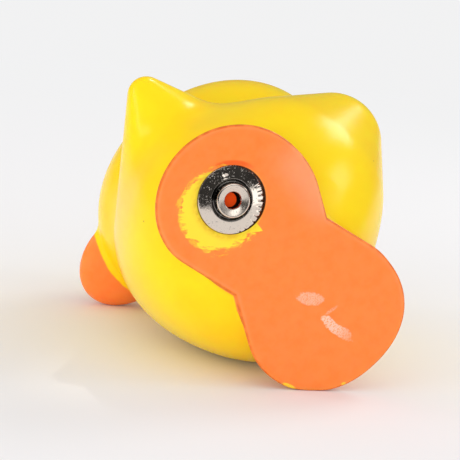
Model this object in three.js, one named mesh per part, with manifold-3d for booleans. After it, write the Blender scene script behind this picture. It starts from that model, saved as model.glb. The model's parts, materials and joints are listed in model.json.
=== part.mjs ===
import * as THREE from 'three';
import { mergeVertices } from 'three/addons/utils/BufferGeometryUtils.js';
import Module from 'manifold-3d';

const wasm = await Module();
wasm.setup();

// A hollow squeeze-toy chick in soft vinyl, lying on its right side with its sole facing the viewer.
// All sizes are in mm. The chick is drawn standing: x runs out to its bill, y to its left wing,
// and z up from the sole.

// Whole figure: sole to crown, bill to tail, and across the wing tips
const standingHeight = 95;
const overallLength = 80;
const overallWidth = 82.8;

// Moulded skin
const wall = 1.9;
const soleThickness = 3.2;
const breastRadius = 26.6;
const breastForward = 4.4;
const breastLift = 0.4 * standingHeight;
const bellyLength = 51.2;
const bellyWidth = 60.4;
const bellyHeight = 48;
const bellyForward = 2;
const bellyLift = breastLift - 16;
const wingTipRadius = 4.5;
const wingSpan = overallWidth - 2 * wingTipRadius;
const wingForward = -1.9;
const wingLift = breastLift + 7;
const rumpRadius = 23.7;
const rumpForward = -11.4;
const rumpLift = breastLift - 6;
const tailTipRadius = 12;
const tailForward = tailTipRadius - 0.515 * overallLength;
const tailLift = breastLift + 2;
const headLength = 62.6;
const headWidth = 51.4;
const headHeight = 54;
const headForward = -1.7;
const headLift = standingHeight - headHeight / 2;
const billLength = 28.6;
const billWidth = 21.8;
const billThickness = 10;
const billForward = 0.485 * overallLength - billLength / 2;
const billLift = headLift + 4;
const wingBlend = 8.5;
const tailBlend = 7.5;
const neckBlend = 8;
const billBlend = 1.6;

// Feet: two round lobes, longer than wide, that meet at a narrow waist and slope up to the belly
const footRadius = 17.2;
const footSpread = 17.2;
const footStretch = 1.085;
const footForward = 0.75;
const footWaist = 11.8;
const footLean = 0.36;
const footDome = 0.1;
const footBlend = 4.5;
const soleEdge = 1.2;

// Squeaker: cap, barrel and reed, pressed slightly askew into the middle of the left foot
const gap = 0.3;
const squeakerShift = [0.25, 0.8];
const squeakerTilt = 5;
const capRadius = 7.7;
const capSheet = 0.5;
const capSunk = 0.75;
const capDome = 0.25;
const capHem = 0.3;
const grooveWidth = 0.9;
const grooveDepth = 0.4;
const collarRadius = 3.85;
const collarHeight = 1.9;
const collarRound = 0.3;
const airHole = 1.98;
const mouthDepth = 0.8;
const airLip = 0.5;
const barrelRadius = 3.9;
const barrelWall = 0.8;
const barrelLength = 6.5;
const barrelFloor = 1;
const noseSunk = 2.2;
const airWayRadius = 0.5;
const reedWidth = 2.6;
const reedLength = 3.6;
const reedThickness = 0.3;
const bedThickness = 0.9;
const bedMargin = 0.4;

// Viewer's direction in the chick's own axes, and the way up as it lies, to start from
const viewAway = new THREE.Vector3(-0.0561, -0.3168, 0.9468);
const roughUp = new THREE.Vector3(-0.69, 0.72, 0);

// Fineness of the faces, and the bands where the rings lie closer
const around = 80;
const cavityAround = 40;
const crowding = 0.1;
const finestStep = 0.05;
const ankleDrop = 7;
const wingBand = 8;
const billBand = 1.1;

const belly = { at: [bellyForward, 0, bellyLift], half: [bellyLength / 2, bellyWidth / 2, bellyHeight / 2] };
const breast = { at: [breastForward, 0, breastLift], radius: breastRadius };
const wingTip = { at: [wingForward, wingSpan / 2, wingLift], radius: wingTipRadius };
const rump = { at: [rumpForward, 0, rumpLift], radius: rumpRadius };
const tailTip = { at: [tailForward, 0, tailLift], radius: tailTipRadius };
const head = { at: [headForward, 0, headLift], half: [headLength / 2, headWidth / 2, headHeight / 2] };
const bill = { at: [billForward, 0, billLift], half: [billLength / 2, billWidth / 2, billThickness / 2] };

// Forms of the skin, each a distance that is negative inside

function egg(x, y, z, { at, half }) {
  const u = [(x - at[0]) / half[0], (y - at[1]) / half[1], (z - at[2]) / half[2]];
  const size = Math.hypot(...u);
  const slope = Math.hypot(u[0] / half[0], u[1] / half[1], u[2] / half[2]);
  return size * (size - 1) / Math.max(slope, 1e-9);
}

function taper(x, y, z, from, to) {
  const axis = new THREE.Vector3(...to.at).sub(new THREE.Vector3(...from.at));
  const point = new THREE.Vector3(x, y, z).sub(new THREE.Vector3(...from.at));
  const length = axis.length();
  const along = point.dot(axis) / length;
  const out = Math.sqrt(Math.max(point.lengthSq() - along * along, 0));
  const sine = (from.radius - to.radius) / length;
  const cosine = Math.sqrt(1 - sine * sine);
  const side = along - out * sine / cosine;
  if (side < 0) return Math.hypot(out, along) - from.radius;
  if (side > length) return Math.hypot(out, along - length) - to.radius;
  return out * cosine + along * sine - from.radius;
}

function blend(a, b, size) {
  const h = THREE.MathUtils.clamp(0.5 + 0.5 * (b - a) / size, 0, 1);
  return b * (1 - h) + a * h - size * h * (1 - h);
}

function footOutline(x, y) {
  const along = Math.abs(y);
  const shift = footForward * Math.min(along / footSpread, 1);
  const across = Math.abs(x - shift) / footStretch;
  const sine = (footRadius - footWaist) / footSpread;
  const cosine = Math.sqrt(1 - sine * sine);
  if (along + across * sine / cosine > footSpread) return Math.hypot(across, along - footSpread) - footRadius;
  return across * cosine - along * sine - footWaist;
}

function foot(x, y, z) {
  const low = Math.max(soleEdge - z, 0);
  const rounding = soleEdge - Math.sqrt(Math.max(soleEdge * soleEdge - low * low, 0));
  const up = Math.max(z - soleEdge, 0);
  return footOutline(x, y) + rounding + footLean * up + footDome * up * up;
}

function trunk(x, y, z) {
  const side = Math.abs(y);
  let d = blend(egg(x, side, z, belly), taper(x, side, z, breast, wingTip), wingBlend);
  d = blend(d, taper(x, side, z, rump, tailTip), tailBlend);
  return blend(d, egg(x, side, z, head), neckBlend);
}

function skin(x, y, z) {
  const d = blend(trunk(x, y, z), egg(x, y, z, bill), billBlend);
  return blend(d, foot(x, y, z), footBlend);
}

// Places where a form ends, measured from the upright axis through the crown
const axisX = headForward;
const farOut = headLength + wingSpan + headHeight;

function edge(inside, near, far) {
  for (let i = 0; i < 30; i++) {
    const middle = (near + far) / 2;
    if (inside(middle)) near = middle;
    else far = middle;
  }
  return near;
}

function reach(form, inset, angle, z) {
  return edge((r) => form(axisX + r * Math.cos(angle), r * Math.sin(angle), z) < -inset, 0, farOut);
}

function top(form, inset) {
  return edge((z) => form(axisX, 0, z) < -inset, headLift, headLift + farOut);
}

// One closed skin: the rings of a ball are set to the levels and drawn out to the form.
// The sides crowd together at the bill, the wings and the tail.
function closedSkin(form, inset, sides, levels, crown) {
  const rings = levels.length + 1;
  const ball = new THREE.SphereGeometry(1, sides, rings).rotateX(Math.PI / 2);
  ball.deleteAttribute('normal');
  ball.deleteAttribute('uv');
  const shell = mergeVertices(ball, 1e-5);
  const p = shell.attributes.position;
  for (let i = 0; i < p.count; i++) {
    const ring = Math.round(Math.acos(THREE.MathUtils.clamp(-p.getZ(i), -1, 1)) / Math.PI * rings);
    const turn = Math.atan2(p.getY(i), p.getX(i));
    const angle = turn - crowding * Math.sin(4 * turn);
    if (ring === 0) p.setXYZ(i, axisX, 0, levels[0]);
    else if (ring === rings) p.setXYZ(i, axisX, 0, crown);
    else {
      const z = levels[ring - 1];
      const r = reach(form, inset, angle, z);
      p.setXYZ(i, axisX + r * Math.cos(angle), r * Math.sin(angle), z);
    }
  }
  return shell;
}

function steps(from, to, count) {
  return Array.from({ length: count }, (_, i) => from + (to - from) * i / count);
}

// Steps that shorten like the rings of a dome
function domeSteps(from, to, count) {
  return Array.from({ length: count }, (_, i) => {
    const rise = Math.sin(Math.PI / 2 * (i + 1) / (count + 0.7));
    return from + (to - from) * rise;
  });
}

function inOrder(levels, crown) {
  const sorted = levels.filter((z) => z < crown - finestStep).sort((a, b) => a - b);
  return sorted.filter((z, i) => i === 0 || z - sorted[i - 1] > finestStep);
}

// Solids and cuts

function solid(geometry) {
  const plain = geometry.clone();
  plain.deleteAttribute('normal');
  plain.deleteAttribute('uv');
  const form = mergeVertices(plain, 1e-4);
  const corners = [];
  for (let i = 0; i < form.index.count; i += 3) {
    const [a, b, c] = [0, 1, 2].map((k) => form.index.getX(i + k));
    if (a !== b && b !== c && c !== a) corners.push(a, b, c);
  }
  return new wasm.Manifold(new wasm.Mesh({
    numProp: 3,
    vertProperties: new Float32Array(form.attributes.position.array),
    triVerts: new Uint32Array(corners),
  }));
}

function geometryOf(manifold) {
  const mesh = manifold.getMesh();
  const geometry = new THREE.BufferGeometry();
  geometry.setAttribute('position', new THREE.BufferAttribute(new Float32Array(mesh.vertProperties), 3));
  geometry.setIndex(new THREE.BufferAttribute(new Uint32Array(mesh.triVerts), 1));
  return geometry;
}

// A closed turned form from a profile of [radius, height] points, standing on z
function turned(profile, segments) {
  const points = profile.map(([r, h]) => new THREE.Vector2(r, h));
  points.push(points[0].clone());
  return new THREE.LatheGeometry(points, segments).rotateX(Math.PI / 2);
}

// Squeaker's own place: heights run up into the chick from the sole, leaning a little to the front
const squeaker = new THREE.Group();
squeaker.position.set(footForward + squeakerShift[0], footSpread + squeakerShift[1], 0);
squeaker.rotation.y = THREE.MathUtils.degToRad(squeakerTilt);
squeaker.updateMatrix();
const capTop = capSunk - collarHeight;
const capBack = capSunk + capSheet;
const barrelStart = capBack + grooveDepth + gap;
const barrelEnd = barrelStart + barrelLength;

// Body: outer skin, less the cavity and the stepped hole that seats the squeaker.
// The bill and the feet are moulded solid.
const crown = top(skin, 0);
const cavityTop = top(trunk, wall);
const ankle = bellyLift - ankleDrop;
const wingRoot = wingLift - wingBand;
const shoulder = wingLift + wingBand;
const billUnder = billLift - billThickness / 2 - billBand;
const billOver = billLift + billThickness / 2 + billBand;
const outerLevels = inOrder([
  ...steps(0, 1, 3).map((t) => soleEdge * (1 - Math.cos(Math.PI / 2 * t))),
  ...steps(soleEdge, ankle, 11),
  ...steps(ankle, wingRoot, 8),
  ...steps(wingRoot, shoulder, 10),
  ...steps(shoulder, billUnder, 5),
  ...steps(billUnder, billOver, 10),
  ...domeSteps(billOver, crown, 9),
], crown);
const cavityLevels = inOrder([
  ...steps(soleThickness, ankle, 5),
  ...steps(ankle, billOver, 16),
  ...domeSteps(billOver, cavityTop, 5),
], cavityTop);
const outer = solid(closedSkin(skin, 0, around, outerLevels, crown));
const cavity = solid(closedSkin(trunk, wall, cavityAround, cavityLevels, cavityTop));
const seat = solid(turned([
  [0, capTop - capSunk],
  [capRadius + gap, capTop - capSunk],
  [capRadius + gap, capBack + gap],
  [barrelRadius + gap, capBack + gap],
  [barrelRadius + gap, barrelEnd + gap],
  [0, barrelEnd + gap],
], 48).applyMatrix4(squeaker.matrix));
const body = geometryOf(outer.subtract(cavity).subtract(seat));

// Cap: one pressed sheet, hemmed at the rim and slightly domed, with a groove and a raised collar
// that is countersunk to the air hole
const crest = capSunk - capDome;
const grooveMiddle = collarRadius + grooveWidth / 2;
const mouth = capTop + mouthDepth;
const cap = turned([
  [capRadius, capBack],
  [grooveMiddle + grooveWidth / 2, crest + capSheet],
  [grooveMiddle, crest + capSheet + grooveDepth],
  [collarRadius - capSheet, crest + capSheet],
  [collarRadius - capSheet - collarRound, capTop + capSheet + collarRound],
  [airHole + capSheet, mouth + collarRound],
  [airHole + capSheet, mouth + airLip],
  [airHole, mouth + airLip],
  [airHole, mouth],
  [airHole + collarRound / 2, mouth - collarRound],
  [collarRadius - 2 * collarRound, capTop + collarRound / 3],
  [collarRadius - collarRound, capTop],
  [collarRadius, capTop + collarRound],
  [collarRadius, crest],
  [grooveMiddle, crest + grooveDepth],
  [grooveMiddle + grooveWidth / 2, crest],
  [capRadius - capHem, capSunk - capHem / 3],
  [capRadius, capSunk + capHem / 2],
], 56);

// Barrel: plastic sleeve behind the cap, with a nose that shows in the air hole, two air ways
// and a bed for the reed
const noseTop = capTop + noseSunk;
const noseRadius = airHole - gap;
const barrelBore = barrelRadius - barrelWall;
const barrelShell = solid(turned([
  [0, noseTop],
  [noseRadius, noseTop],
  [noseRadius, barrelStart],
  [barrelRadius, barrelStart],
  [barrelRadius, barrelEnd],
  [barrelBore, barrelEnd],
  [barrelBore, barrelStart + barrelFloor],
  [0, barrelStart + barrelFloor],
], 40));
const airWayOut = (noseRadius + barrelBore) / 2;
const airWay = new THREE.CylinderGeometry(airWayRadius, airWayRadius, 3 * barrelFloor, 16);
airWay.rotateX(Math.PI / 2);
const bedLength = reedLength + 2 * bedMargin;
const bedFace = -reedThickness / 2 - gap;
const bed = new THREE.BoxGeometry(reedWidth + 2 * bedMargin, bedThickness, bedLength + barrelFloor);
bed.translate(0, bedFace - bedThickness / 2, barrelStart + (bedLength + barrelFloor) / 2);
const barrel = barrelShell
  .subtract(solid(airWay.clone().translate(0, airWayOut, barrelStart + barrelFloor / 2)))
  .subtract(solid(airWay.clone().translate(airWayOut, 0, barrelStart + barrelFloor / 2)))
  .add(solid(bed));

// Reed: a thin springy tongue along its bed
const reed = new THREE.BoxGeometry(reedWidth, reedThickness, reedLength);
reed.translate(0, 0, barrelStart + barrelFloor + bedMargin + reedLength / 2);

// The chick lies on the rim of its right foot, its right wing tip and its bill
function lowest(up, belongs) {
  const p = body.attributes.position;
  const best = new THREE.Vector3();
  const v = new THREE.Vector3();
  let least = Infinity;
  for (let i = 0; i < p.count; i++) {
    v.fromBufferAttribute(p, i);
    const h = v.dot(up);
    if (h < least && belongs(v)) {
      least = h;
      best.copy(v);
    }
  }
  return best;
}

const tableUp = roughUp.clone().normalize();
for (let i = 0; i < 6; i++) {
  const rim = lowest(tableUp, (v) => v.z < 2 * soleEdge && v.y < 0);
  const wing = lowest(tableUp, (v) => v.z > wingRoot && v.z < shoulder && v.y < -breastRadius);
  const beak = lowest(tableUp, (v) => v.x > billForward && v.z > billUnder);
  tableUp.crossVectors(wing.sub(rim), beak.sub(rim)).normalize();
  if (tableUp.dot(roughUp) < 0) tableUp.negate();
}
const across = new THREE.Vector3().crossVectors(viewAway, tableUp).normalize();
const away = new THREE.Vector3().crossVectors(tableUp, across);

// Put together, laid down, and set with its lowest point on z = 0 under its middle
function piece(name, geometry, color, roughness, metalness) {
  geometry.computeVertexNormals();
  const material = new THREE.MeshStandardMaterial({ color, roughness, metalness });
  const mesh = new THREE.Mesh(geometry, material);
  mesh.name = name;
  return mesh;
}

squeaker.add(
  piece('squeaker_cap', geometryOf(solid(cap)), 0xc9cacc, 0.3, 1),
  piece('squeaker_barrel', geometryOf(barrel), 0xd24a0c, 0.5, 0),
  piece('squeaker_reed', geometryOf(solid(reed)), 0xc8a24a, 0.35, 1),
);

const chick = new THREE.Group();
chick.add(piece('chick_body', body, 0xffdf35, 0.4, 0), squeaker);
chick.quaternion.setFromRotationMatrix(new THREE.Matrix4().makeBasis(across, away, tableUp).transpose());

const box = new THREE.Box3().setFromObject(chick, true);
const middle = box.getCenter(new THREE.Vector3());
chick.position.set(-middle.x, -middle.y, -box.min.z);

const group = new THREE.Group();
group.name = 'vinyl_chick';
group.add(chick);

export default group;
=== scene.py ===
import json
import math

import bmesh
import bpy
import numpy as np
from mathutils import Matrix, Vector


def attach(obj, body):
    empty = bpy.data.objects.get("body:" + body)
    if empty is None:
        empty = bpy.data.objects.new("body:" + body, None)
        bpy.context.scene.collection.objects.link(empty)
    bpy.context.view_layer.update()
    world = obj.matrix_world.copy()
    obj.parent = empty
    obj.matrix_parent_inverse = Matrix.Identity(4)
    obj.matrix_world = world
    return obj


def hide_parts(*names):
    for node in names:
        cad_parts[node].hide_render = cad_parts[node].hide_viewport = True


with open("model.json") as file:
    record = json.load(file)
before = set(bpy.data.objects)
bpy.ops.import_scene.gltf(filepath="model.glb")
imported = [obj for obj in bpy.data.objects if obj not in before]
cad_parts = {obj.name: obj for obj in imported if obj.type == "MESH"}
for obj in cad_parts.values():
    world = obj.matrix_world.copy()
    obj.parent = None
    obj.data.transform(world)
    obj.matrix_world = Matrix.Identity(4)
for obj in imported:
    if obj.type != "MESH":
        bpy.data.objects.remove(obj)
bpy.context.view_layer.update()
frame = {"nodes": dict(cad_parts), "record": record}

# Body: one hollow moulding in soft yellow vinyl, with wings, tail, head and bill drawn out of it
# and a flat sole shaped as two round feet. Orange paint is brushed on the feet and the bill, and
# it has worn off round the squeaker.
mm = 0.001
foot_spread = 17.2
soles = {mount["name"]: mount for mount in frame["record"]["mounts"]}
right_foot = Vector(soles["right_foot_sole"]["pos_m"])
left_foot = Vector(soles["left_foot_sole"]["pos_m"])
up = -Vector(soles["right_foot_sole"]["axis"])
left = (left_foot - right_foot).normalized()
front = left.cross(up)
standing = Matrix((front, left, up)).transposed()
sole_middle = right_foot + left * foot_spread * mm
to_row = Matrix.Translation(sole_middle) @ standing.to_4x4() @ Matrix.Scale(mm, 4)

# The moulding's forms, in mm on the standing chick: x to the bill, y to the left wing, z up
belly_at, belly_half = np.array([2, 0, 22]), np.array([25.6, 30.2, 24])
breast_at, breast_radius = np.array([4.4, 0, 38]), 26.6
wing_at, wing_radius = np.array([-1.9, 36.9, 45]), 4.5
rump_at, rump_radius = np.array([-11.4, 0, 32]), 23.7
tail_at, tail_radius = np.array([-29.2, 0, 40]), 12
head_at, head_half = np.array([-1.7, 0, 68]), np.array([31.3, 25.7, 27])
bill_at, bill_half = np.array([24.5, 0, 72]), np.array([14.3, 10.9, 5])
wing_blend, tail_blend, neck_blend = 8.5, 7.5, 8
bill_blend, foot_blend = 1.6, 2.2
foot_forward, foot_waist, foot_lean, foot_dome, sole_edge = 0.75, 13.6, 0.36, 0.1, 0.75
left_tip, left_front_middle, left_front_half = 34.4, 17.7, 18.0
left_heel_middle, left_heel_half = 15.1, 18.7
right_tip, right_front_middle, right_front_half = 34.8, 17.0, 18.7
right_heel_middle, right_heel_half = 17.6, 19.3
right_front_square, right_heel_square = 2.06, 2.25
belly_clear, belly_round = 1.5, 1.2


def egg(p, middle, half):
    u = (p - middle) / half
    size = np.linalg.norm(u, axis=-1)
    slope = np.linalg.norm(u / half, axis=-1)
    return size * (size - 1) / np.maximum(slope, 1e-9)


def taper(p, start, start_radius, end, end_radius):
    axis = end - start
    length = np.linalg.norm(axis)
    along = (p - start) @ axis / length
    out = np.sqrt(np.maximum(((p - start) ** 2).sum(-1) - along ** 2, 0))
    sine = (start_radius - end_radius) / length
    cosine = math.sqrt(1 - sine ** 2)
    side = along - out * sine / cosine
    cone = out * cosine + along * sine - start_radius
    ball = np.hypot(out, along) - start_radius
    tip = np.hypot(out, along - length) - end_radius
    return np.where(side < 0, ball, np.where(side > length, tip, cone))


def blend(a, b, size):
    h = np.clip(0.5 + 0.5 * (b - a) / size, 0, 1)
    return b * (1 - h) + a * h - size * h * (1 - h)


def foot_outline(p):
    along = np.abs(p[..., 1])
    ahead = p[..., 0] - foot_forward * np.minimum(along / foot_spread, 1)
    on_left, on_front = p[..., 1] > 0, ahead > 0
    left_middle = np.where(on_front, left_front_middle, left_heel_middle)
    left_half = np.where(on_front, left_front_half, left_heel_half)
    right_middle = np.where(on_front, right_front_middle, right_heel_middle)
    right_half = np.where(on_front, right_front_half, right_heel_half)
    middle = np.where(on_left, left_middle, right_middle)
    radius = np.where(on_left, left_tip, right_tip) - middle
    stretch = np.where(on_left, left_half, right_half) / radius
    right_square = np.where(on_front, right_front_square, right_heel_square)
    square = np.where(on_left | (along < middle), 2, right_square)
    across, narrow = np.abs(ahead) / stretch, foot_waist / stretch
    turn = np.arcsin(radius / np.hypot(narrow, middle)) - np.arctan2(narrow, middle)
    lobe = (across ** square + np.abs(along - middle) ** square) ** (1 / square) - radius
    waist = (across - narrow) * np.cos(turn) - along * np.sin(turn)
    return np.where(along + across * np.tan(turn) > middle, lobe, waist)


def foot(p):
    low = np.clip(sole_edge - p[..., 2], 0, sole_edge)
    rise = np.maximum(p[..., 2] - sole_edge, 0)
    rounding = sole_edge - np.sqrt(sole_edge ** 2 - low ** 2)
    return foot_outline(p) + rounding + foot_lean * rise + foot_dome * rise ** 2


def trunk(p):
    half = p * [1, 0, 1] + np.abs(p) * [0, 1, 0]
    wing = taper(half, breast_at, breast_radius, wing_at, wing_radius)
    tail = taper(half, rump_at, rump_radius, tail_at, tail_radius)
    d = blend(egg(half, belly_at, belly_half), wing, wing_blend)
    return blend(blend(d, tail, tail_blend), egg(half, head_at, head_half), neck_blend)


def bird(p):
    d = blend(trunk(p), egg(p, bill_at, bill_half), bill_blend)
    return -blend(-d, p[..., 2] - belly_clear, belly_round)


def skin(p):
    return blend(bird(p), foot(p), foot_blend)


# Rings of the skin, level by level round the upright axis, drawn out until they meet the forms
sides, crowding = 256, 0.1
halvings, far_out, over_the_head = 40, 90, 120.0
turns = np.arange(sides) * 2 * np.pi / sides
bearings = turns - crowding * np.sin(4 * turns)
rays = np.stack([np.cos(bearings), np.sin(bearings), 0 * bearings], -1)
axis_x = head_at[0]


def inmost(inside, near, far):
    for _ in range(halvings):
        middle = (near + far) / 2
        within = inside(middle)
        near = np.where(within, middle, near)
        far = np.where(within, far, middle)
    return near


def level_rings(levels):
    centres = np.array([[axis_x, 0, z] for z in levels])[:, None, :]
    start = np.zeros((len(levels), sides))
    reach = inmost(lambda r: skin(centres + rays * r[..., None]) < 0, start, start + far_out)
    return centres + rays * reach[..., None]


crown = float(inmost(lambda z: skin(np.array([axis_x, 0, z])) < 0, head_at[2], over_the_head))
edge_steps, dome_steps, dome_start = 7, 28, 78.2
level_stops = (sole_edge, 3, 15, 37, 53, 66, dome_start)
level_counts = (9, 31, 26, 26, 16, 30)
edge_turn = np.linspace(0, np.pi / 2, edge_steps)
edge_levels = sole_edge * (1 - np.cos(edge_turn))
dome_turn = np.linspace(0, np.pi / 2, dome_steps)[1:-1]
level_spans = zip(level_stops, level_stops[1:], level_counts)
skin_levels = [np.linspace(low, high, count)[1:] for low, high, count in level_spans]
skin_levels.append(dome_start + (crown - dome_start) * np.sin(dome_turn))
edge_rings = level_rings(edge_levels)
skin_rings = level_rings(np.concatenate(skin_levels))

# The rings are evened out and laid back on the forms
settle_passes, kept_share, eased_share = 14, 0.4, 0.3
probe, least_slope = 0.02, 0.05
settled = np.concatenate([edge_rings[-1:], skin_rings])
for _ in range(settle_passes):
    across = (np.roll(settled, 1, 1) + np.roll(settled, -1, 1)) / 2
    upward = (np.roll(settled, 1, 0) + np.roll(settled, -1, 0)) / 2
    eased = settled * kept_share + across * eased_share + upward * eased_share
    settled[1:-1] = eased[1:-1]
    for _ in range(2):
        gap = skin(settled[1:-1])
        slope = np.stack([(skin(settled[1:-1] + d) - gap) / probe for d in np.eye(3) * probe], -1)
        steepness = np.maximum((slope ** 2).sum(-1), least_slope)
        settled[1:-1] -= slope * (gap / steepness)[..., None]

# The hole that seats the squeaker, stepped and leaning a little, and the flat sole round it
squeaker_at = Vector((0.8, 17.95, 0))
squeaker_tilt = math.radians(5)
seat_radius, seat_depth, seat_edge = 7.83, 1.6, 0.1
seat_lip, lip_turn, sole_steps = 0.07, 0.3, 15
bore_radius, bore_depth = 4.2, 8.75
squeaker_lean = np.array([math.sin(squeaker_tilt), 0, math.cos(squeaker_tilt)])
squeaker_fore = np.array([math.cos(squeaker_tilt), 0, -math.sin(squeaker_tilt)])
sole_rim = edge_rings[0]
spokes = sole_rim - np.array(squeaker_at)
spokes = spokes / np.linalg.norm(spokes, axis=-1, keepdims=True)


def bore_ring(radius, depth):
    flat = spokes * radius
    return np.array(squeaker_at) + flat[:, :1] * squeaker_fore + flat * [0, 1, 0] + depth * squeaker_lean


def mouth_ring(radius, depth):
    ring = bore_ring(radius, 0)
    return ring - ring[:, 2:] * squeaker_lean / squeaker_lean[2] + depth * squeaker_lean


mouth = mouth_ring(seat_radius + seat_lip, 0)
shares = np.linspace(0, 1, sole_steps)[1:-1, None, None]
bore_rings = np.array([
    bore_ring(bore_radius, bore_depth),
    bore_ring(bore_radius, seat_depth + seat_edge),
    bore_ring(bore_radius + seat_edge, seat_depth),
    bore_ring(seat_radius - seat_edge, seat_depth),
    bore_ring(seat_radius, seat_depth - seat_edge),
    mouth_ring(seat_radius, seat_lip),
    mouth_ring(seat_radius + seat_lip * lip_turn, seat_lip * lip_turn),
    mouth,
])
sole_rings = mouth + (sole_rim - mouth) * shares
rings = np.concatenate([bore_rings, sole_rings, edge_rings[:-1], settled])

# The heel of the left foot curls up a little
heel_start, heel_reach, heel_most, heel_curl = -5.0, 11.0, 1.4, 0.9
heel_inner, heel_fade, heel_height = -3, 9, 8
heel = np.clip((heel_start - rings[..., 0]) / heel_reach, 0, heel_most) ** 2
heel_side = np.clip((rings[..., 1] - heel_inner) / heel_fade, 0, 1)
low_down = np.clip(1 - rings[..., 2] / heel_height, 0, 1)
rings[..., 2] += heel_curl * heel * heel_side * low_down

# The rim of the right foot is pressed a little flat where it lies on the floor
rim_give, right_side, low_part = 0.5, -8.0, 8.0
floor_up = np.array((front.z, left.z, up.z))
off_floor = rings @ floor_up + sole_middle.z / mm
pressed = -blend(-off_floor, 0, rim_give) - off_floor
pressed *= (rings[..., 1] < right_side) & (rings[..., 2] < low_part)
rings += pressed[..., None] * floor_up

body_mesh = bmesh.new()
bmesh.ops.create_uvsphere(body_mesh, u_segments=sides, v_segments=len(rings) + 1, radius=1)
foot_paint = body_mesh.verts.layers.float.new("foot_paint")
bill_paint = body_mesh.verts.layers.float.new("bill_paint")
sole_shape = body_mesh.verts.layers.float.new("sole_shape")
well_in = 9
foot_field = bird(rings) - foot(rings)
foot_field[:len(bore_rings) + len(sole_rings)] = well_in
sole_field = -foot_outline(rings)
bill_field = trunk(rings) - egg(rings, bill_at, bill_half)
for vert in body_mesh.verts:
    ring = round(math.acos(max(-1, min(1, -vert.co.z))) / math.pi * (len(rings) + 1)) - 1
    side = round(math.atan2(vert.co.y, vert.co.x) / (2 * math.pi) * sides) % sides
    if ring < 0:
        vert.co = squeaker_at + bore_depth * Vector(squeaker_lean)
        vert[foot_paint] = well_in
        vert[bill_paint] = -well_in
        vert[sole_shape] = well_in
    elif ring == len(rings):
        vert.co = (axis_x, 0, crown)
        vert[foot_paint] = -well_in
        vert[bill_paint] = -well_in
        vert[sole_shape] = -well_in
    else:
        vert.co = rings[ring, side]
        vert[foot_paint] = foot_field[ring, side]
        vert[bill_paint] = bill_field[ring, side]
        vert[sole_shape] = sole_field[ring, side]
bmesh.ops.transform(body_mesh, matrix=to_row, verts=body_mesh.verts)
bmesh.ops.recalc_face_normals(body_mesh, faces=body_mesh.faces)
for face in body_mesh.faces:
    face.smooth = True


def make_piece(name, mesh):
    data = bpy.data.meshes.new(name)
    mesh.to_mesh(data)
    mesh.free()
    piece = bpy.data.objects.new(name, data)
    bpy.context.collection.objects.link(piece)
    return piece


body = make_piece("vinyl_body", body_mesh)
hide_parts("chick_body")
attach(body, "root")

# Vinyl and paint, on the chick's own axes in mm
vinyl_yellow = (1.0, 0.69, 0.006, 1)
vinyl_deep = (1.0, 0.62, 0.003, 1)
vinyl_bare_lit = (1.0, 0.705, 0.045, 1)
paint_orange = (1.0, 0.25, 0.053, 1)
paint_deep = (1.0, 0.19, 0.022, 1)
arc_shade_red = (0.9, 0.1, 0.008, 1)
highlight_pink = (1.0, 0.62, 0.5, 1)
edge_shade_brown = (0.5, 0.1, 0.01, 1)
grime_shade_amber = (0.72, 0.3, 0.008, 1)
gap_shade = (0.05, 0.018, 0.006, 1)
speck_brown = (0.16, 0.05, 0.02, 1)
eye_black = (0.012, 0.01, 0.01, 1)


def new_material(name):
    material = bpy.data.materials.new(name)
    material.use_nodes = True
    tree = material.node_tree
    return material, tree, tree.nodes["Principled BSDF"]


def add_node(tree, kind, inputs, **settings):
    made = tree.nodes.new("ShaderNode" + kind)
    for name, value in settings.items():
        setattr(made, name, value)
    for socket, value in inputs.items():
        if isinstance(value, bpy.types.NodeSocket):
            tree.links.new(value, made.inputs[socket])
        else:
            made.inputs[socket].default_value = value
    return made


def calc(tree, operation, *values):
    return add_node(tree, "Math", dict(enumerate(values)), operation=operation).outputs[0]


def ramp(tree, value, low, high, start=0.0, end=1.0):
    sockets = {"Value": value, "From Min": low, "From Max": high, "To Min": start, "To Max": end}
    return add_node(tree, "MapRange", sockets, interpolation_type="SMOOTHSTEP").outputs[0]


def tint(tree, share, under, over):
    sockets = {"Factor": share, 6: under, 7: over}
    return add_node(tree, "Mix", sockets, data_type="RGBA").outputs[2]


def noise(tree, place, scale, detail=2.0, rough=0.5):
    sockets = {"Vector": place, "Scale": scale, "Detail": detail, "Roughness": rough}
    return add_node(tree, "TexNoise", sockets).outputs["Fac"]


def chick_place(tree):
    place = add_node(tree, "TexCoord", {}).outputs["Object"]
    sockets = {
        "Vector": place,
        "Location": sole_middle,
        "Rotation": standing.to_euler(),
        "Scale": (mm, mm, mm),
    }
    return add_node(tree, "Mapping", sockets, vector_type="TEXTURE").outputs[0]


def turned_place(tree, place, middle, half, turn):
    sockets = {
        "Vector": place,
        "Location": middle,
        "Rotation": (0, 0, math.radians(turn)),
        "Scale": half,
    }
    return add_node(tree, "Mapping", sockets, vector_type="TEXTURE").outputs[0]


def patch(tree, place, middle, half, turn):
    local = turned_place(tree, place, middle, half, turn)
    return add_node(tree, "VectorMath", {0: local}, operation="LENGTH").outputs["Value"]


def beyond(tree, place, point, way):
    offset = add_node(tree, "VectorMath", {0: place, 1: point}, operation="SUBTRACT").outputs[0]
    return add_node(tree, "VectorMath", {0: offset, 1: way}, operation="DOT_PRODUCT").outputs["Value"]


vinyl, tree, shader = new_material("vinyl_paint")
place = chick_place(tree)
along_x, along_y, height = add_node(tree, "SeparateXYZ", {0: place}).outputs
broad = noise(tree, place, 0.05, 3)
ink_line = calc(tree, "MULTIPLY_ADD", noise(tree, place, 0.22, 3), 1.6, -0.8)

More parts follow.
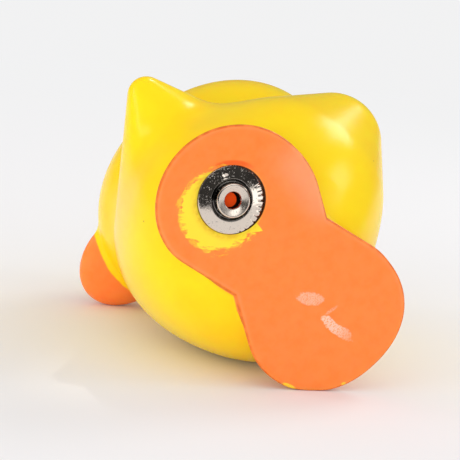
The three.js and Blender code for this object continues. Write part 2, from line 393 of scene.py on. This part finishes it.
foot_edge = add_node(tree, "Attribute", {}, attribute_name="foot_paint").outputs["Fac"]
bill_edge = add_node(tree, "Attribute", {}, attribute_name="bill_paint").outputs["Fac"]
sole_edge_in = add_node(tree, "Attribute", {}, attribute_name="sole_shape").outputs["Fac"]
on_foot = ramp(tree, calc(tree, "ADD", foot_edge, ink_line), -0.1, 0.1)
on_foot = calc(tree, "MAXIMUM", on_foot, ramp(tree, height, 1.5, 1.3))
on_foot = calc(tree, "MINIMUM", on_foot, ramp(tree, sole_edge_in, -0.4, -0.25))
on_bill = ramp(tree, calc(tree, "MULTIPLY_ADD", ink_line, 0.5, bill_edge), 1.1, 1.5)
painted = calc(tree, "MAXIMUM", on_foot, on_bill)

# Bare yellow round the squeaker, with streaks that run round it, a wedge beside it
# and two chips at the rim
worn_at, worn_radius, worn_depth, stroke_length = (4.45, 17.85, 0), 8.8, 6, 3.2
worn = patch(tree, place, worn_at, (worn_radius, worn_radius, worn_depth), 0)
worn_x = calc(tree, "SUBTRACT", along_x, worn_at[0])
worn_y = calc(tree, "SUBTRACT", along_y, worn_at[1])
round_by = calc(tree, "MULTIPLY", calc(tree, "ARCTAN2", worn_y, worn_x), stroke_length)
outward = calc(tree, "MULTIPLY", worn, 8.0)
strokes = add_node(tree, "CombineXYZ", {0: outward, 1: round_by}).outputs[0]
ragged = calc(tree, "SUBTRACT", noise(tree, strokes, 0.9, 5, 0.65), 0.5)
tooth_length, tooth_width, tooth_turn = 3.0, 0.8, 41
tooth_place = turned_place(tree, place, worn_at, (tooth_length, tooth_width, tooth_length), tooth_turn)
teeth = calc(tree, "SUBTRACT", noise(tree, tooth_place, 1.0, 2), 0.5)
worn_edge = calc(tree, "MULTIPLY_ADD", teeth, 0.5, worn)
rubbed = ramp(tree, calc(tree, "MULTIPLY_ADD", ragged, 0.35, worn_edge), 1.04, 0.98)
thinned = ramp(tree, calc(tree, "MULTIPLY_ADD", ragged, 1.1, worn), 1.12, 0.96, 0.0, 0.5)
wedge_tip, wedge_base = (-0.4, 7.5, 0), (0, 11.5, 0)
chip_low_at, chip_low_half, chip_low_turn = (17.0, -25.0, 0.45), (0.5, 1.9, 1.2), -27
chip_far_at, chip_far_half, chip_far_turn = (7.0, -33.2, 0.5), (0.7, 0.4, 1.0), 25
wedge_front = beyond(tree, place, wedge_tip, (1, 0, 0))
wedge_back = beyond(tree, place, wedge_tip, (-0.55, 0.83, 0))
wedge = calc(tree, "MINIMUM", wedge_front, wedge_back)
wedge = calc(tree, "MINIMUM", wedge, beyond(tree, place, wedge_base, (0, -1, 0)))
wedge = ramp(tree, calc(tree, "MULTIPLY_ADD", ragged, 0.6, wedge), -0.06, 0.1)
chip_low = patch(tree, place, chip_low_at, chip_low_half, chip_low_turn)
chip_low = ramp(tree, chip_low, 1.1, 0.7, 0.0, 0.75)
chip_far = patch(tree, place, chip_far_at, chip_far_half, chip_far_turn)
chip_far = ramp(tree, chip_far, 1.1, 0.7, 0.0, 0.7)
bare = calc(tree, "MAXIMUM", calc(tree, "MAXIMUM", rubbed, thinned), wedge)
bare = calc(tree, "MAXIMUM", bare, calc(tree, "MAXIMUM", chip_low, chip_far))
orange = calc(tree, "MULTIPLY", painted, calc(tree, "SUBTRACT", 1.0, bare))

# Shades of the vinyl and the paint, and painted light and shade on the sole: a painted shade arc by the
# squeaker, a painted sheen on the heel, a painted highlight on the rim, a painted shade line along the
# edge
pale_from, pale_way = (6, -14, 0), (-0.5, 0.87, 0)
heel_sheen_share, rim_highlight_share = 0.2, 0.05
yellow_shade = tint(tree, ramp(tree, broad, 0.35, 0.7), vinyl_yellow, vinyl_deep)
mottle = noise(tree, place, 0.35, 5, 0.6)
orange_shade = tint(tree, ramp(tree, mottle, 0.35, 0.75, 0.0, 0.45), paint_orange, paint_deep)
from_squeaker = patch(tree, place, squeaker_at, (1, 1, 1), 0)
# A darker orange arc beside the squeaker's seat: painted shade.
arc_shade = calc(tree, "MULTIPLY", ramp(tree, from_squeaker, 9.3, 8.7), ramp(tree, along_x, -0.5, -2.0))
arc_shade = calc(tree, "MULTIPLY", arc_shade, ramp(tree, along_y, 19.5, 23.0, 0.0, 0.8))
orange_shade = tint(tree, arc_shade, orange_shade, arc_shade_red)
# A paler pink on the left foot's heel: a painted sheen.
heel_sheen = calc(tree, "MULTIPLY", ramp(tree, along_x, -7.0, -16.0), ramp(tree, along_y, -4.0, 4.0))
heel_sheen = calc(tree, "MULTIPLY", heel_sheen, ramp(tree, along_y, 24.0, 12.0))
orange_shade = tint(tree, calc(tree, "MULTIPLY", heel_sheen, heel_sheen_share), orange_shade, highlight_pink)
# A brown line just inside the sole's edge: painted shade where the edge turns away.
edge_in = ramp(tree, sole_edge_in, 0.6, 0.15)
edge_out = ramp(tree, sole_edge_in, -0.3, -0.05)
edge_shade_line = calc(tree, "MULTIPLY", edge_in, edge_out)
edge_shade_line = calc(tree, "MULTIPLY", edge_shade_line, ramp(tree, mottle, 0.3, 0.6, 0.25, 0.75))
# A pale pink band along the rim on one side: a painted highlight.
rim_highlight = calc(tree, "MULTIPLY", ramp(tree, sole_edge_in, 1.3, 0.7), ramp(tree, sole_edge_in, 0.3, 0.5))
pale_side = ramp(tree, beyond(tree, place, pale_from, pale_way), -9.0, 3.0)
rim_highlight = calc(tree, "MULTIPLY", rim_highlight, pale_side)
orange_shade = tint(tree, calc(tree, "MULTIPLY", rim_highlight, rim_highlight_share), orange_shade, highlight_pink)
orange_shade = tint(tree, edge_shade_line, orange_shade, edge_shade_brown)
# Bare vinyl on the feet is a paler yellow: painted light where the front light falls on the sole.
yellow_shade = tint(tree, on_foot, yellow_shade, vinyl_bare_lit)
colour = tint(tree, orange, yellow_shade, orange_shade)

# Amber round the squeaker, partly grime and partly painted shade where the vinyl dips into the gap,
# fading out over the bare vinyl; painted shade in the gap itself
grime_and_shade = calc(tree, "MULTIPLY", ramp(tree, from_squeaker, 9.9, 8.0, 0.0, 0.55), bare)
grime_and_shade = calc(tree, "MULTIPLY", grime_and_shade, ramp(tree, ragged, -0.12, 0.12, 0.35, 1.0))
colour = tint(tree, grime_and_shade, colour, grime_shade_amber)
# The dark ring in the gap round the disc is painted shade.
colour = tint(tree, ramp(tree, from_squeaker, 7.98, 7.86), colour, gap_shade)

# Painted highlights on the right foot, pink and speckled: an oval, and a band with a hollow side and a
# streak at its tip
oval_at, oval_half, oval_turn, oval_share = (0.83, -12.1, 0), (3.4, 1.6, 3), 48, 0.62
hollow_at, hollow_half = (-2.8, -18.9, 0), (2.6, 5.2, 3)
band_at, band_half, band_turn = (0.2, -21.7, 0), (1.6, 4.8, 3), -12
glint_streak_at, glint_streak_half, glint_streak_turn = (-1.2, -17.55, 0), (2.0, 0.4, 3), 5
speckle = noise(tree, place, 2.6, 2, 0.6)
scratch = calc(tree, "SUBTRACT", noise(tree, place, 1.1, 3, 0.6), 0.5)
oval = patch(tree, place, oval_at, oval_half, oval_turn)
oval = ramp(tree, calc(tree, "MULTIPLY_ADD", scratch, 0.7, oval), 1.05, 0.8)
hollow_side = patch(tree, place, hollow_at, hollow_half, 0)
band = patch(tree, place, band_at, band_half, band_turn)
band = ramp(tree, calc(tree, "MULTIPLY_ADD", scratch, 0.7, band), 1.02, 0.85)
hollow_side = calc(tree, "MULTIPLY_ADD", scratch, 0.3, hollow_side)
band = calc(tree, "MULTIPLY", band, ramp(tree, hollow_side, 0.95, 1.05))
band = calc(tree, "MULTIPLY", band, ramp(tree, along_y, -26.5, -20.5, 0.35, 1.0))
glint_streak = patch(tree, place, glint_streak_at, glint_streak_half, glint_streak_turn)
glint_streak = ramp(tree, calc(tree, "MULTIPLY_ADD", scratch, 0.8, glint_streak), 1.2, 0.4, 0.0, 0.45)
dent_highlights = calc(tree, "MAXIMUM", calc(tree, "MULTIPLY", oval, oval_share), band)
dent_highlights = calc(tree, "MAXIMUM", dent_highlights, glint_streak)
dent_highlights = calc(tree, "MULTIPLY", dent_highlights, ramp(tree, speckle, 0.37, 0.54, 0.2, 0.85))
# The pink marks laid on here are painted highlights.
colour = tint(tree, dent_highlights, colour, highlight_pink)

# Dark specks here and there, and plain eyes on both sides of the head
dots = add_node(tree, "TexVoronoi", {"Vector": place, "Scale": 0.16}, feature="F1").outputs["Distance"]
specks = calc(tree, "MULTIPLY", ramp(tree, dots, 0.045, 0.03), ramp(tree, broad, 0.5, 0.56))
colour = tint(tree, calc(tree, "MULTIPLY", specks, 0.55), colour, speck_brown)
eye_middle, eye_radius, eye_soft = (17.7, 17.5, 78.6), 3.0, 0.1
either_side = calc(tree, "ABSOLUTE", along_y)
mirrored = add_node(tree, "CombineXYZ", {0: along_x, 1: either_side, 2: height}).outputs[0]
eye = add_node(tree, "VectorMath", {0: mirrored, 1: eye_middle}, operation="DISTANCE").outputs["Value"]
colour = tint(tree, ramp(tree, eye, eye_radius + eye_soft, eye_radius - eye_soft), colour, eye_black)

tree.links.new(colour, shader.inputs["Base Color"])
tree.links.new(ramp(tree, broad, 0.3, 0.7, 0.21, 0.27), shader.inputs["Roughness"])
peel = calc(tree, "MULTIPLY_ADD", noise(tree, place, 0.4, 1), 0.6, orange)
bump_sockets = {"Height": peel, "Strength": 0.3, "Distance": 0.00007}
bump = add_node(tree, "Bump", bump_sockets).outputs[0]
tree.links.new(bump, shader.inputs["Normal"])
shader.inputs["Specular IOR Level"].default_value = 0.22
shader.inputs["Subsurface Weight"].default_value = 0.5
shader.inputs["Subsurface Radius"].default_value = (1.0, 0.45, 0.08)
shader.inputs["Subsurface Scale"].default_value = 0.006
body.data.materials.append(vinyl)

# Squeaker cap: a thin disc of nickel-plated steel, pressed with a dished groove and a rolled
# collar round its air hole, and pushed into the left foot. Its rim is nicked and tarnished.
cap_radius, cap_sunk, cap_dome, cap_hem, hem_drop = 7.8, 0.3, 0.45, 0.25, 0.18
collar_radius, collar_top, collar_round, hole_radius, hole_end = 3.9, -1.6, 0.36, 1.95, 0.15
groove_radius, groove_round, groove_clear, groove_drop = 4.25, 0.3, 0.4, 0.15
flange_inset, flange_rise, flange_steps, cap_steps = 0.2, 0.07, 10, 288
funnel_out, funnel_drop, throat_round, throat_drop = 0.75, 0.3, 0.35, 0.8
flange_end = cap_radius - cap_hem


def arc(middle, radius, start, end, count=7):
    turn = np.radians(np.linspace(start, end, count))
    return [(middle[0] + radius * math.cos(t), middle[1] + radius * math.sin(t)) for t in turn]


hem = arc((flange_end, cap_sunk + hem_drop), cap_hem, 0, -85)
flange_radii = np.linspace(flange_end - flange_inset, groove_radius + groove_clear, flange_steps)
flange = [(r, cap_sunk - flange_rise - cap_dome * (1 - (r / flange_end) ** 2)) for r in flange_radii]
groove = arc((groove_radius, flange[-1][1] + groove_drop), groove_round, 10, 160)
roll = arc((collar_radius - collar_round, collar_top + collar_round), collar_round, 0, -110)
funnel_low = (hole_radius + funnel_out, collar_top + funnel_drop)
throat = arc((hole_radius + throat_round, collar_top + throat_drop), throat_round, -125, -180)
cap_face = hem + flange + groove + roll + [funnel_low] + throat + [(hole_radius, hole_end)]
collar_back = [(2.4, hole_end), (2.45, -0.1), (2.9, -0.45), (3.2, -0.3), (3.25, 0.9)]
flange_back = [(4.0, 1.2), (4.6, 0.95), (7.6, 1.15)]
cap_mesh = bmesh.new()
cap_profile = [cap_mesh.verts.new((r, 0, h)) for r, h in cap_face + collar_back + flange_back]
cap_edges = [cap_mesh.edges.new((a, b)) for a, b in zip(cap_profile, cap_profile[1:] + cap_profile[:1])]
bmesh.ops.spin(
    cap_mesh,
    geom=cap_profile + cap_edges,
    cent=(0, 0, 0),
    axis=(0, 0, 1),
    angle=2 * math.pi,
    steps=cap_steps,
    use_merge=True,
)
seam = 0.0005
bmesh.ops.remove_doubles(cap_mesh, verts=cap_mesh.verts, dist=seam)

# Nicks along part of the disc's rim, and one dent in its flange
nick_start, nick_from, nick_to, nicks_round = 6.2, 190, 300, 36
nick_depth, nick_shrink, nick_spread = 0.2, 0.035, 1.5
dent_at, dent_reach, dent_depth, dent_from, dent_to = (-2.2, 4.7), 0.85, 0.2, 4.7, 7
for vert in cap_mesh.verts:
    bearing = math.degrees(math.atan2(vert.co.y, vert.co.x)) % 360
    radius = math.hypot(vert.co.x, vert.co.y)
    if radius > nick_start and nick_from < bearing < nick_to:
        bite = max(0, math.sin(math.radians(bearing * nicks_round))) ** 3
        bite *= 0.5 + 0.5 * math.sin(bearing * 1.7)
        vert.co.z += nick_depth * bite * (radius - nick_start)
        shrink = 1 - nick_shrink * bite * (radius - nick_start) / nick_spread
        vert.co.x *= shrink
        vert.co.y *= shrink
    if dent_from < radius < dent_to:
        dent = math.hypot(vert.co.x - dent_at[0], vert.co.y - dent_at[1])
        vert.co.z += dent_depth * math.exp(-(dent / dent_reach) ** 2)
bmesh.ops.recalc_face_normals(cap_mesh, faces=cap_mesh.faces)
for face in cap_mesh.faces:
    face.smooth = True
squeaker_to_row = to_row @ Matrix.Translation(squeaker_at) @ Matrix.Rotation(squeaker_tilt, 4, "Y")
bmesh.ops.transform(cap_mesh, matrix=squeaker_to_row, verts=cap_mesh.verts)
cap = make_piece("squeaker_disc", cap_mesh)
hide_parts("squeaker_cap")
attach(cap, "root")

nickel_warm = (0.77, 0.68, 0.59, 1)
groove_black = (0.05, 0.05, 0.05, 1)
dust_grey = (0.34, 0.33, 0.3, 1)
groove_darkness, along_axis = 0.85, 1000
nickel, tree, shader = new_material("tarnished_nickel")
place = chick_place(tree)
disc_sockets = {
    "Vector": place,
    "Location": squeaker_at,
    "Rotation": (0, squeaker_tilt, 0),
    "Scale": (1, 1, along_axis),
}
on_disc = add_node(tree, "Mapping", disc_sockets, vector_type="TEXTURE").outputs[0]
away = add_node(tree, "VectorMath", {0: on_disc}, operation="LENGTH").outputs["Value"]
clouds = noise(tree, place, 0.55, 5, 0.6)
pits = noise(tree, place, 2.4, 3, 0.6)
# The groove round the collar is darkened.
in_groove = calc(tree, "MULTIPLY", ramp(tree, away, 3.86, 3.95), ramp(tree, away, 5.15, 4.75))
groove_dark = calc(tree, "MULTIPLY", in_groove, groove_darkness)
metal = tint(tree, groove_dark, nickel_warm, groove_black)
dust = calc(tree, "MULTIPLY", ramp(tree, pits, 0.57, 0.64), ramp(tree, clouds, 0.42, 0.6))
metal = tint(tree, dust, metal, dust_grey)
tree.links.new(metal, shader.inputs["Base Color"])
gloss = ramp(tree, calc(tree, "ADD", clouds, dust), 0.4, 1.4, 0.06, 0.5)
gloss = calc(tree, "MAXIMUM", gloss, ramp(tree, away, 3.65, 3.45, 0.0, 0.27))
tree.links.new(gloss, shader.inputs["Roughness"])
tree.links.new(ramp(tree, dust, 0, 1, 1.0, 0.3), shader.inputs["Metallic"])
bump_sockets = {"Height": pits, "Strength": 0.15, "Distance": 0.00003}
bump = add_node(tree, "Bump", bump_sockets).outputs[0]
tree.links.new(bump, shader.inputs["Normal"])
cap.data.materials.append(nickel)

# Squeaker barrel: the turned sleeve of orange-red plastic that is pushed in behind the disc. Its nose
# shows in the air hole. The solid stays as it is.
sleeve_red, sleeve_bright = (0.92, 0.063, 0.0005, 1), (0.97, 0.09, 0.001, 1)
hole_shade_black = (0.012, 0.006, 0.004, 1)
barrel = frame["nodes"]["squeaker_barrel"]
plastic, tree, shader = new_material("barrel_plastic")
place = chick_place(tree)
grain = noise(tree, place, 0.9, 4)
orange_red = tint(tree, grain, sleeve_red, sleeve_bright)
inward = add_node(tree, "SeparateXYZ", {0: place}).outputs["Z"]
# Deeper in than the nose the sleeve goes near black: painted shade inside the hole.
hole_shaded = tint(tree, ramp(tree, inward, 1.25, 1.5), orange_red, hole_shade_black)
tree.links.new(hole_shaded, shader.inputs["Base Color"])
shader.inputs["Roughness"].default_value = 0.6
shader.inputs["Specular IOR Level"].default_value = 0.15
barrel.data.materials.clear()
barrel.data.materials.append(plastic)

# Squeaker reed: a thin tongue of brass, cut from sheet, that lies in the sleeve and makes the sound.
# It is hidden, and the solid stays as it is.
brass_pale, brass_dull = (0.62, 0.42, 0.12, 1), (0.5, 0.31, 0.07, 1)
reed = frame["nodes"]["squeaker_reed"]
brass, tree, shader = new_material("reed_metal")
place = chick_place(tree)
grain = noise(tree, place, 1.6, 3)
tree.links.new(tint(tree, grain, brass_pale, brass_dull), shader.inputs["Base Color"])
shader.inputs["Metallic"].default_value = 1.0
shader.inputs["Roughness"].default_value = 0.35
reed.data.materials.clear()
reed.data.materials.append(brass)

# Floor: a wide sheet of matt pale board that the chick lies on. Far from the chick the camera sees
# it as plain grey.
floor_half = 3.0
board_grey, background_grey = (0.855, 0.845, 0.845, 1), (0.885, 0.885, 0.89, 1)
shaded_reach, plain_reach = 0.1, 0.4
floor_mesh = bmesh.new()
bmesh.ops.create_grid(floor_mesh, x_segments=8, y_segments=8, size=floor_half)
floor = make_piece("studio_floor", floor_mesh)
board, tree, shader = new_material("pale_board")
shader.inputs["Base Color"].default_value = board_grey
shader.inputs["Roughness"].default_value = 0.8
shader.inputs["Specular IOR Level"].default_value = 0.0
path = add_node(tree, "LightPath", {}).outputs
from_middle = add_node(tree, "TexCoord", {}).outputs["Object"]
out_there = add_node(tree, "VectorMath", {0: from_middle}, operation="LENGTH").outputs["Value"]
plain = calc(tree, "MULTIPLY", ramp(tree, out_there, shaded_reach, plain_reach), path["Is Camera Ray"])
glow = add_node(tree, "Emission", {"Color": background_grey}).outputs[0]
board_mix = add_node(tree, "MixShader", {0: plain, 1: shader.outputs[0], 2: glow}).outputs[0]
tree.links.new(board_mix, tree.nodes["Material Output"].inputs["Surface"])
floor.data.materials.append(board)

# Studio light: a pale room, brighter in front, with soft lamps in front, at both sides and behind, and
# a narrow spot on one wing. Two black cards and a white one in front only show in a shine.
bright_way, window_way = (0.1, -0.95, 0.3), (0.3, -0.74, 0.6)
room_dim, room_bright, backdrop_level = 0.75, 0.92, 0.9
shine_dim, shine_bright, window_glow = 0.2, 0.35, 1.75
room_white = (0.99, 0.99, 1.0, 1)
world = bpy.data.worlds.new("pale_room")
bpy.context.scene.world = world
world.use_nodes = True
tree = world.node_tree
sky = tree.nodes["Background"]
toward = add_node(tree, "TexCoord", {}).outputs["Generated"]
facing = beyond(tree, toward, (0, 0, 0), bright_way)
path = add_node(tree, "LightPath", {}).outputs
level = ramp(tree, facing, -0.3, 0.9, room_dim, room_bright)
window = beyond(tree, toward, (0, 0, 0), window_way)
shine = ramp(tree, facing, -0.3, 0.5, shine_dim, shine_bright)
shine = ramp(tree, window, 0.86, 0.93, shine, window_glow)
level = add_node(tree, "Mix", {"Factor": path["Is Glossy Ray"], 2: level, 3: shine}).outputs[0]
level = add_node(tree, "Mix", {"Factor": path["Is Camera Ray"], 2: level, 3: backdrop_level}).outputs[0]
sky.inputs["Color"].default_value = room_white
tree.links.new(level, sky.inputs["Strength"])

card_front = -0.38
cards = (
    ("black_card_front", 0.01, -0.5, 0.32, 0.0, 0.22),
    ("black_card_right", 0.004, 0.32, 0.9, 0.062, 0.22),
    ("white_card", 1.55, 0.32, 0.9, 0.0, 0.062),
)
for name, glow, west, east, low, high in cards:
    card_mesh = bmesh.new()
    bmesh.ops.create_grid(card_mesh, x_segments=1, y_segments=1, size=0.5)
    middle = ((west + east) / 2, card_front, (low + high) / 2)
    upright = Matrix.Translation(middle) @ Matrix.Rotation(math.pi / 2, 4, "X")
    fit = Matrix.Diagonal((east - west, high - low, 1, 1))
    bmesh.ops.transform(card_mesh, matrix=upright @ fit, verts=card_mesh.verts)
    card = make_piece(name, card_mesh)
    card_paint, tree, shader = new_material(name)
    shader.inputs["Base Color"].default_value = (0, 0, 0, 1)
    shader.inputs["Emission Color"].default_value = (1, 1, 1, 1)
    shader.inputs["Emission Strength"].default_value = glow
    card.data.materials.append(card_paint)
    card.visible_camera = card.visible_diffuse = card.visible_shadow = False


def hang_lamp(data, bearing, height, distance, aim):
    lamp = bpy.data.objects.new(data.name, data)
    bpy.context.collection.objects.link(lamp)
    round_by, up_by = math.radians(bearing), math.radians(height)
    outward = math.cos(up_by)
    out = Vector((math.sin(round_by) * outward, -math.cos(round_by) * outward, math.sin(up_by)))
    lamp.location = out * distance
    lamp.rotation_euler = (aim - lamp.location).to_track_quat("-Z", "Y").to_euler()
    return lamp


def soft_lamp(name, bearing, height, distance, size, power):
    data = bpy.data.lights.new(name, "AREA")
    data.shape = "RECTANGLE"
    data.size, data.size_y = size
    data.energy = power
    return hang_lamp(data, bearing, height, distance, Vector())


front_lamp = soft_lamp("front_lamp", -12, 4, 1.0, (0.8, 0.3), 3.2)
front_lamp.visible_glossy = False
low_lamp = soft_lamp("low_lamp", -46, 10, 0.9, (0.35, 0.2), 1.5)
low_lamp.visible_glossy = False
soft_lamp("left_lamp", -92, 24, 0.8, (0.12, 0.3), 0.4)
soft_lamp("right_lamp", 138, 42, 0.8, (0.28, 0.24), 1.2)
soft_lamp("side_lamp", 98, 33, 0.8, (0.2, 0.2), 0.5)

# The narrow spot picks out the upper ridge of the left wing
wing_ridge = to_row @ Vector((-6.2, 36, 43.5))
spot_power, spot_radius, spot_angle = 3.4, 0.012, 2.8
spot = bpy.data.lights.new("wing_lamp", "SPOT")
spot.energy = spot_power
spot.shadow_soft_size = spot_radius
spot.spot_size = math.radians(spot_angle)
spot.spot_blend = 1.0
hang_lamp(spot, 172, 55, 0.8, wing_ridge)

# Camera: where the photographer stood, close in front of the sole and a little above it
eye_point = to_row @ Vector((38.708, 201.472, -563.969))
aim_point = to_row @ Vector((5.048, 11.392, 4.111))
picture_up = standing @ Vector((-0.639, 0.74, 0.2097))
camera_data = bpy.data.cameras.new("camera")
camera_data.lens = 208.72
camera_data.sensor_width = 36
camera = bpy.data.objects.new("camera", camera_data)
bpy.context.collection.objects.link(camera)
looking = (aim_point - eye_point).normalized()
picture_right = looking.cross(picture_up).normalized()
turned = Matrix((picture_right, picture_right.cross(looking), -looking)).transposed()
camera.matrix_world = Matrix.Translation(eye_point) @ turned.to_4x4()
bpy.context.scene.camera = camera
bpy.context.scene.view_settings.view_transform = "Standard"
